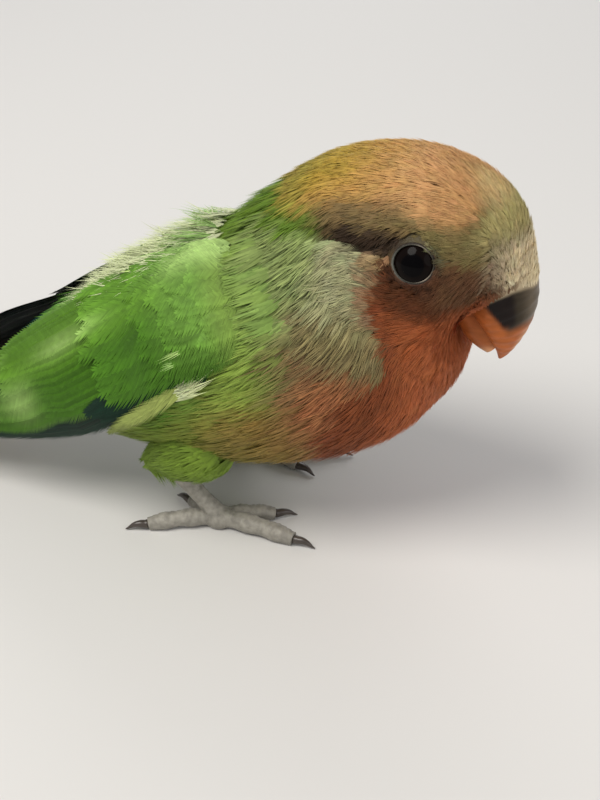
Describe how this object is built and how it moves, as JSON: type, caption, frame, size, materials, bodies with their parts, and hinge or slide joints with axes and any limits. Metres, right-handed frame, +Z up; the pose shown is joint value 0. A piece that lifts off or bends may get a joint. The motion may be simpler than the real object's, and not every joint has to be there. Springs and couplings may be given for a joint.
{
  "type": "juvenile peach-faced lovebird, still model",
  "caption": "Small standing parrot with folded wings, head low and turned a little to its right; a still, life-size bird.",
  "frame": {"origin": "on the floor, under the middle of the bird's bounding box", "axes": "+X the way the body faces, +Y to the bird's left, +Z up"},
  "size_m": [0.1238, 0.0496, 0.0703],
  "materials": {
    "body_feathers": "soft green body feathers",
    "face_feathers": "fine peach and olive face feathers",
    "flight_feathers": "smooth green vanes",
    "bill_horn": "satin horn with a dark base",
    "eye": "wet, near black",
    "scaly_skin": "fine grey scales",
    "claw_horn": "satin dark horn"
  },
  "bodies": {
    "root": {"torso": "body_feathers", "neck": "body_feathers", "head": "face_feathers", "beak_upper": "bill_horn", "beak_lower": "bill_horn", "tail": "flight_feathers", "eye_left": "eye", "wing_left": "flight_feathers", "thigh_left": "body_feathers", "foot_left": "scaly_skin", "claw_left_front_outer": "claw_horn", "claw_left_front_inner": "claw_horn", "claw_left_back_outer": "claw_horn", "claw_left_back_inner": "claw_horn", "eye_right": "eye", "wing_right": "flight_feathers", "thigh_right": "body_feathers", "foot_right": "scaly_skin", "claw_right_front_outer": "claw_horn", "claw_right_front_inner": "claw_horn", "claw_right_back_outer": "claw_horn", "claw_right_back_inner": "claw_horn"}
  },
  "joints": []
}
